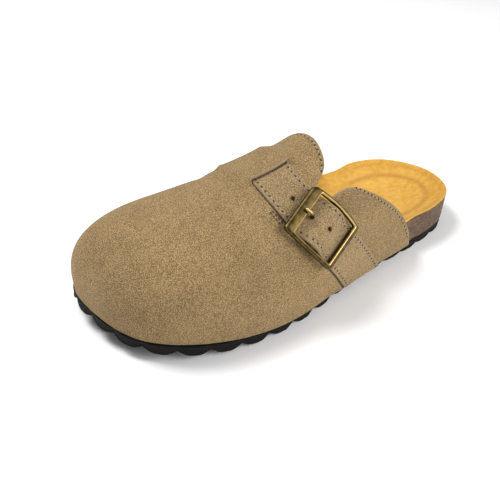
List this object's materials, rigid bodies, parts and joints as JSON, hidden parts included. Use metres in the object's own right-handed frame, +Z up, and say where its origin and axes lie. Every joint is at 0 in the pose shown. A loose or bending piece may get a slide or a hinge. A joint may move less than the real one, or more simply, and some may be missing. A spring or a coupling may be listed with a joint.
{
  "type": "clog slipper",
  "caption": "Buckled clog slipper for the left foot: closed toe, open heel, cork footbed on a lobed black sole, instep strap with a brass buckle",
  "frame": {"origin": "on the ground, under the middle of the shoe's bounding box", "axes": "+X from the heel to the toe, +Y to the wearer's left (the outer side of this left shoe), +Z up"},
  "size_m": [0.2656, 0.1048, 0.0815],
  "materials": {
    "black_outsole": "matte moulded foam rubber",
    "brown_cork": "sealed granulated cork",
    "yellow_lining_suede": "suede lining",
    "taupe_suede": "suede nap",
    "strap_suede": "suede nap",
    "anchor_suede": "suede nap",
    "antique_brass": "antique brass, worn bright on the edges",
    "prong_brass": "antique brass"
  },
  "bodies": {
    "root": {"outsole": "black_outsole", "footbed": "brown_cork", "insole": "yellow_lining_suede", "upper": "taupe_suede", "strap": "strap_suede", "anchor_strap": "anchor_suede", "buckle": "antique_brass", "prong": "prong_brass"}
  },
  "joints": []
}
